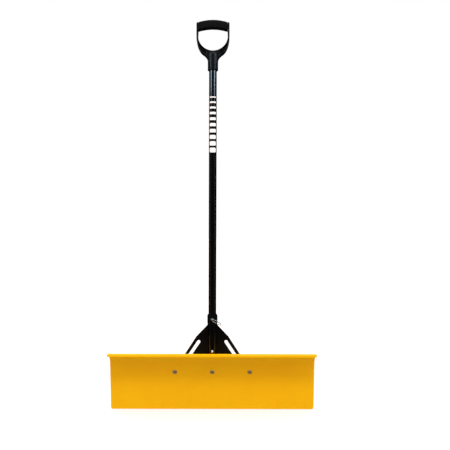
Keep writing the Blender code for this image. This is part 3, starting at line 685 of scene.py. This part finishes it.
def make_grip_screw():
    """Pan head with a cross recess."""
    low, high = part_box("grip_screw")
    place = (0, TUBE_Y + SOCKET_RADIUS + CLEAR * 0.5, (low.z + high.z) / 2)
    head = [(0, 0.0024), (0.0022, 0.0024), (0.0033, 0.0020), (0.0039, 0.0011), (0.0040, 0.0004),
            (0.0038, 0)]
    profile = head + [(GRIP_SCREW_RADIUS, 0), (GRIP_SCREW_RADIUS, -0.0080), (0, -0.0100)]
    screw = add_object("yoke_screw", turned(profile, 40), place, FACING_BACK)
    arm, reach = 0.0004, 0.0017
    bar = [(-reach, -arm), (reach, -arm), (reach, arm), (-reach, arm)]
    for turn in (0, math.pi / 2):
        combine(screw, moved(prism(bar, 0.0013, 0.004, "Z"), Matrix.Rotation(turn, 4, "Z")))
    return smooth(screw, 35)


def make_pin():
    """Local +Z points back; the origin is under the flange."""
    place = (0, TUBE_Y - SADDLE_OUTER - CLEAR, PIN_Z)
    end = PIN_HIGH.y - place[1]
    radius, outer, flange = PIN_RADIUS, PIN_FLANGE_RADIUS, PIN_FLANGE
    profile = [(0, -flange), (outer - 0.0007, -flange), (outer - 0.0002, 0.0002 - flange),
               (outer, 0.0007 - flange), (outer, -0.0003), (outer - 0.0003, 0), (radius, 0),
               (radius, end - 0.0020), (radius - 0.0006, end - 0.0008), (radius - 0.0016, end), (0, end)]
    pin = add_object("pin_shaft", turned(profile, 48), place, FACING_BACK)
    half = PIN_TANG_HALF
    front = [(half, 0.001)] + arc((0, half - PIN_TANG_LENGTH), half, 0, -math.pi, 24) + [(-half, 0.001)]
    tang = prism(front, -PIN_TANG_THICKNESS / 2, PIN_TANG_THICKNESS / 2)
    hole = prism(circle((0, -BAIL_PIVOT_OUT), BAIL_PIVOT_HOLE, 24), -0.01, 0.01)
    turn = Matrix.Rotation(BAIL_ANGLE, 4, "Z") @ Matrix.Translation((0, 0, -flange))
    combine(pin, moved(tang, turn), "UNION")
    combine(pin, moved(hole, turn))
    round_edges(pin, 0.0003, 2)
    return pin


def make_bail():
    """Wire loop; local X runs along it and local Y across it, and the origin is on the hinge."""
    across = PIN_TANG_THICKNESS / 2 + CLEAR + BAIL_WIRE
    bend = BAIL_WIRE * 1.6
    turn_x = BAIL_LENGTH - across - BAIL_WIRE
    lower = [(0, -0.0009), (0, bend - across)]
    lower += arc((bend, bend - across), bend, math.pi, math.pi * 1.5, 10)[1:]
    lower += [(turn_x * step / 6, -across) for step in range(1, 6)]
    route = lower + arc((turn_x, 0), across, -math.pi / 2, math.pi / 2, 24)
    route += [(x, -y) for x, y in reversed(lower)]
    path = [(x, y, 0) for x, y in route]
    bail = add_object("bail_wire", swept(path, [BAIL_WIRE] * len(path), 20))
    turn = Matrix.Rotation(-math.pi / 2, 4, "X") @ Matrix.Rotation(BAIL_ANGLE, 4, "Z")
    hinge = Vector((0, TUBE_Y - SADDLE_OUTER - CLEAR - PIN_FLANGE - BAIL_PIVOT_OUT, PIN_Z))
    bail.data.transform(Matrix.Translation(hinge) @ turn)
    return smooth(bail, 60)


# ---------------------------------------------------------------- materials

class Nodes:
    """Short hand for building one material's node tree in object space."""

    def __init__(self, name):
        self.material = bpy.data.materials.new(name)
        self.material.use_nodes = True
        self.tree = self.material.node_tree
        self.shader = self.tree.nodes["Principled BSDF"]
        self.place = self.add("ShaderNodeTexCoord").outputs["Object"]

    def add(self, kind, **values):
        node = self.tree.nodes.new(kind)
        for key, value in values.items():
            setattr(node, key, value)
        return node

    def link(self, source, target):
        self.tree.links.new(source, target)

    def noise(self, scale, detail, rough=0.55, stretch=(1, 1, 1)):
        mapping = self.add("ShaderNodeMapping")
        mapping.inputs["Scale"].default_value = stretch
        self.link(self.place, mapping.inputs["Vector"])
        noise = self.add("ShaderNodeTexNoise")
        noise.inputs["Scale"].default_value = scale
        noise.inputs["Detail"].default_value = detail
        noise.inputs["Roughness"].default_value = rough
        self.link(mapping.outputs["Vector"], noise.inputs["Vector"])
        return noise.outputs["Fac"]

    def ramp(self, source, low, high, low_value, high_value):
        """Map source from low..high onto two numbers, clamped."""
        node = self.add("ShaderNodeMapRange")
        values = (("From Min", low), ("From Max", high), ("To Min", low_value), ("To Max", high_value))
        for socket, value in values:
            node.inputs[socket].default_value = value
        self.link(source, node.inputs["Value"])
        return node.outputs["Result"]

    def mix(self, share, first, second):
        """Blend two colours by a pattern."""
        node = self.add("ShaderNodeMix", data_type="RGBA")
        for name, colour in (("A", first), ("B", second)):
            socket = [s for s in node.inputs if s.name == name and s.type == "RGBA"][0]
            socket.default_value = (*colour, 1.0)
        self.link(share, node.inputs["Factor"])
        return [s for s in node.outputs if s.type == "RGBA"][0]

    def bump(self, height, distance, strength, under=None):
        node = self.add("ShaderNodeBump")
        node.inputs["Distance"].default_value = distance
        node.inputs["Strength"].default_value = strength
        self.link(height, node.inputs["Height"])
        if under:
            self.link(under, node.inputs["Normal"])
        return node.outputs["Normal"]

    def set(self, **values):
        """Set or link the shader's sockets, named with underscores for spaces."""
        for key, value in values.items():
            socket = self.shader.inputs[key.replace("_", " ")]
            if isinstance(value, bpy.types.NodeSocket):
                self.link(value, socket)
            elif isinstance(value, tuple) and len(value) == 3 and socket.type == "RGBA":
                socket.default_value = (*value, 1.0)
            else:
                socket.default_value = value
        return self.material


def yellow_poly():
    n = Nodes("poly_yellow")
    cloud = n.ramp(n.noise(9.0, 3.0), 0.35, 0.65, 0.0, 1.0)
    colour = n.mix(cloud, (0.628, 0.352, 0.0005), (0.648, 0.368, 0.0007))
    streaks = n.noise(60.0, 5.0, 0.6, (0.10, 1.0, 1.0))
    grain = n.noise(1400.0, 3.0, 0.6)
    normal = n.bump(streaks, 0.00010, 0.25)
    normal = n.bump(grain, 0.00003, 0.4, normal)
    rough = n.ramp(n.noise(140.0, 4.0, 0.6, (0.3, 1.0, 1.0)), 0.3, 0.7, 0.36, 0.46)
    return n.set(Base_Color=colour, Roughness=rough, Normal=normal, Subsurface_Weight=0.5,
                 Subsurface_Radius=(1.0, 0.40, 0.02), Subsurface_Scale=0.008, Specular_IOR_Level=0.08)


def powder_black(name, base, rough_low, rough_high, peel_strength, specular):
    n = Nodes(name)
    peel = n.noise(700.0, 2.0, 0.5)
    mottle = n.ramp(n.noise(45.0, 4.0), 0.35, 0.65, 0.0, 1.0)
    colour = n.mix(mottle, (base, base, base * 1.02), (base * 1.35, base * 1.35, base * 1.38))
    normal = n.bump(peel, 0.00006, peel_strength)
    rough = n.ramp(n.noise(260.0, 3.0), 0.3, 0.7, rough_low, rough_high)
    return n.set(Base_Color=colour, Roughness=rough, Normal=normal, Specular_IOR_Level=specular)


def moulded_black():
    n = Nodes("plastic_black")
    grain = n.noise(1900.0, 3.0, 0.65)
    cloud = n.ramp(n.noise(30.0, 3.0), 0.35, 0.65, 0.0, 1.0)
    colour = n.mix(cloud, (0.0024, 0.0024, 0.0026), (0.0040, 0.0040, 0.0043))
    normal = n.bump(grain, 0.00005, 0.45)
    rough = n.ramp(n.noise(300.0, 3.0), 0.3, 0.7, 0.28, 0.36)
    return n.set(Base_Color=colour, Roughness=rough, Normal=normal, Specular_IOR_Level=0.10)


def soft_black():
    n = Nodes("rubber_black")
    grain = n.noise(1500.0, 4.0, 0.7)
    dust = n.ramp(n.noise(80.0, 5.0), 0.4, 0.7, 0.0, 1.0)
    colour = n.mix(dust, (0.0022, 0.0022, 0.0022), (0.0038, 0.0038, 0.0038))
    normal = n.bump(grain, 0.00010, 0.5)
    rough = n.ramp(n.noise(220.0, 3.0), 0.3, 0.7, 0.60, 0.74)
    return n.set(Base_Color=colour, Roughness=rough, Normal=normal, Specular_IOR_Level=0.05)


def zinc(name, low, high, rough, metallic):
    """Plated steel with a faint spangle, between two tones."""
    n = Nodes(name)
    spangle = n.ramp(n.noise(420.0, 3.0, 0.6), 0.3, 0.7, 0.0, 1.0)
    colour = n.mix(spangle, low, high)
    worn = n.ramp(n.noise(900.0, 4.0, 0.65), 0.3, 0.7, rough, rough + 0.15)
    normal = n.bump(n.noise(1100.0, 3.0), 0.00002, 0.4)
    return n.set(Base_Color=colour, Roughness=worn, Normal=normal, Metallic=metallic)


def print_white():
    n = Nodes("decal_white")
    ink = n.ramp(n.noise(500.0, 4.0, 0.6), 0.35, 0.65, 0.0, 1.0)
    colour = n.mix(ink, (0.70, 0.71, 0.72), (0.80, 0.81, 0.82))
    rough = n.ramp(n.noise(350.0, 3.0), 0.3, 0.7, 0.38, 0.50)
    return n.set(Base_Color=colour, Roughness=rough)


def floor_white():
    n = Nodes("floor_pale")
    faint = n.ramp(n.noise(3.0, 3.0), 0.3, 0.7, 0.0, 1.0)
    return n.set(Base_Color=n.mix(faint, (0.30, 0.30, 0.30), (0.31, 0.31, 0.31)), Roughness=0.9,
                 Emission_Color=(1, 1, 1), Emission_Strength=0.58)


def dress(obj, material, slot, body, *nodes):
    """Give a piece its material and body, and hide the CAD nodes it stands for; the slot argument is not
    used.
    """
    obj.data.materials.clear()
    obj.data.materials.append(material)
    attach(obj, body)
    if nodes:
        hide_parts(*nodes)


# ---------------------------------------------------------------- studio

def add_area(name, place, aim, size, power, colour=(1, 1, 1)):
    light = bpy.data.lights.new(name, "AREA")
    light.shape = "RECTANGLE"
    light.size, light.size_y = size
    light.energy = power
    light.color = colour
    lamp = bpy.data.objects.new(name, light)
    bpy.context.scene.collection.objects.link(lamp)
    lamp.location = place
    lamp.rotation_euler = (Vector(aim) - Vector(place)).to_track_quat("-Z", "Y").to_euler()
    return lamp


def add_sun(name, elevation, azimuth, strength, spread):
    """Soft sun from in front; azimuth turns it towards +X."""
    light = bpy.data.lights.new(name, "SUN")
    light.energy = strength
    light.angle = math.radians(spread)
    lamp = bpy.data.objects.new(name, light)
    bpy.context.scene.collection.objects.link(lamp)
    up, side = math.radians(elevation), math.radians(azimuth)
    towards = Vector((math.sin(side) * math.cos(up), -math.cos(side) * math.cos(up), math.sin(up)))
    lamp.rotation_euler = towards.to_track_quat("Z", "Y").to_euler()


def make_world():
    """White backdrop, an even dome for soft light, and a dim dome for reflections."""
    world = bpy.data.worlds.new("studio")
    bpy.context.scene.world = world
    world.use_nodes = True
    tree = world.node_tree
    tree.nodes.clear()
    place = tree.nodes.new("ShaderNodeTexCoord")
    split = tree.nodes.new("ShaderNodeSeparateXYZ")
    path = tree.nodes.new("ShaderNodeLightPath")
    output = tree.nodes.new("ShaderNodeOutputWorld")
    tree.links.new(place.outputs["Generated"], split.inputs["Vector"])

    def background(at_horizon, overhead, colour=(1, 1, 1, 1)):
        rise = tree.nodes.new("ShaderNodeMapRange")
        values = (("From Min", 0.05), ("From Max", 0.8), ("To Min", at_horizon), ("To Max", overhead))
        for socket, value in values:
            rise.inputs[socket].default_value = value
        tree.links.new(split.outputs["Z"], rise.inputs["Value"])
        sky = tree.nodes.new("ShaderNodeBackground")
        sky.inputs["Color"].default_value = colour
        tree.links.new(rise.outputs["Result"], sky.inputs["Strength"])
        return sky.outputs["Background"]

    def choose(share, first, second):
        mixer = tree.nodes.new("ShaderNodeMixShader")
        tree.links.new(share, mixer.inputs["Fac"])
        tree.links.new(first, mixer.inputs[1])
        tree.links.new(second, mixer.inputs[2])
        return mixer.outputs["Shader"]

    soft_light = background(1.08, 1.88, (1, 0.85, 0.78, 1))
    shade = choose(path.outputs["Is Glossy Ray"], soft_light, background(0.0, 0.30))
    shade = choose(path.outputs["Is Camera Ray"], shade, background(1.0, 1.0))
    tree.links.new(shade, output.inputs["Surface"])
    world.cycles.sampling_method = "NONE"


def make_floor(material):
    body = bmesh.new()
    sides = 96
    rings = []
    for radius in (0.8, 4.0, 30.0):
        rings.append([body.verts.new((x, y, 0)) for x, y in circle((0, 0), radius, sides)])
    body.faces.new(rings[0])
    for inner, outer in zip(rings, rings[1:]):
        for index in range(sides):
            after = (index + 1) % sides
            body.faces.new((inner[index], inner[after], outer[after], outer[index]))
    floor = add_object("studio_floor", body)
    floor.location.z = -0.0004
    floor.data.materials.append(material)
    floor.visible_glossy = False
    floor.visible_diffuse = False


def make_camera():
    data = bpy.data.cameras.new("camera")
    camera = bpy.data.objects.new("camera", data)
    bpy.context.scene.collection.objects.link(camera)
    data.sensor_width = 36.0
    data.lens = 47.35
    data.clip_start, data.clip_end = 0.05, 100.0
    camera.location = (0.0462, TUBE_Y - 2.2, 0.6932)
    camera.rotation_euler = (math.pi / 2, math.radians(-0.14), 0)
    bpy.context.scene.camera = camera


# ---------------------------------------------------------------- everything together

def main():
    make_camera()
    bpy.context.scene.view_settings.view_transform = "Standard"
    poly = yellow_poly()
    steel = powder_black("powder_black_plate", 0.0013, 0.40, 0.50, 0.25, 0.12)
    tube_coat = powder_black("powder_black_tube", 0.0014, 0.13, 0.16, 0.02, 0.5)
    plastic = moulded_black()
    rubber = soft_black()
    bright = zinc("zinc_bright", (0.60, 0.60, 0.585), (0.76, 0.76, 0.75), 0.22, 1.0)
    # zinc for the blade bolts, with a gold tint in its colour: painted reflection of the yellow blade
    dull = zinc("zinc_dull", (0.78, 0.64, 0.36), (0.90, 0.76, 0.46), 0.18, 0.86)
    # darker copy of the zinc for the bail wire: painted shade for its shadow side
    shaded_wire_zinc = zinc("zinc_wire_painted_shade", (0.36, 0.36, 0.37), (0.48, 0.48, 0.49), 0.30, 1.0)

    dress(make_blade(), poly, "yellow_poly", "pusher", "blade")
    dress(make_bracket(), steel, "black_powder_coat", "pusher", "bracket_plate")
    dress(make_saddle(), steel, "black_powder_coat", "pusher", "handle_saddle")
    for side in (-1, 1):
        dress(make_weld(side), steel, "black_powder_coat", "pusher")
    dress(make_tube(), tube_coat, "black_powder_coat", "pusher", "handle_tube")
    dress(make_decal(), print_white(), "black_powder_coat", "pusher")
    dress(make_yoke(), plastic, "black_plastic", "pusher", "grip_yoke")
    dress(make_pad(), rubber, "soft_black_grip", "pusher", "grip_pad")
    dress(make_grip_screw(), bright, "zinc_plate", "pusher", "grip_screw")
    for piece, node in make_blade_fasteners() + make_handle_bolt():
        if node == "handle_bolt_washer_front":
            dress(piece, steel, "black_powder_coat", "pusher", node)
        else:
            dress(piece, dull if node.startswith("blade") else bright, "zinc_plate", "pusher", node)
    dress(make_pin(), bright, "zinc_plate", "pin", "lock_pin")
    dress(make_bail(), shaded_wire_zinc, "zinc_plate", "bail", "pin_bail")

    make_floor(floor_white())
    make_world()
    add_sun("key_sun", 55.5, 4, 1.74, 14)
    for side in (-1, 1):
        tall = add_area("softbox", (side * 1.45, TUBE_Y - 1.15, 2.20), (0, TUBE_Y, 1.30), (0.90, 1.2), 42,
                        (0.60, 0.80, 1.0))
        low_fill = add_area("side_fill", (side * 1.6, TUBE_Y - 0.9, 1.0), (0, TUBE_Y, 0.9), (0.4, 2.0),
                            1.0)
        tall.visible_diffuse = False
        low_fill.visible_diffuse = False


main()
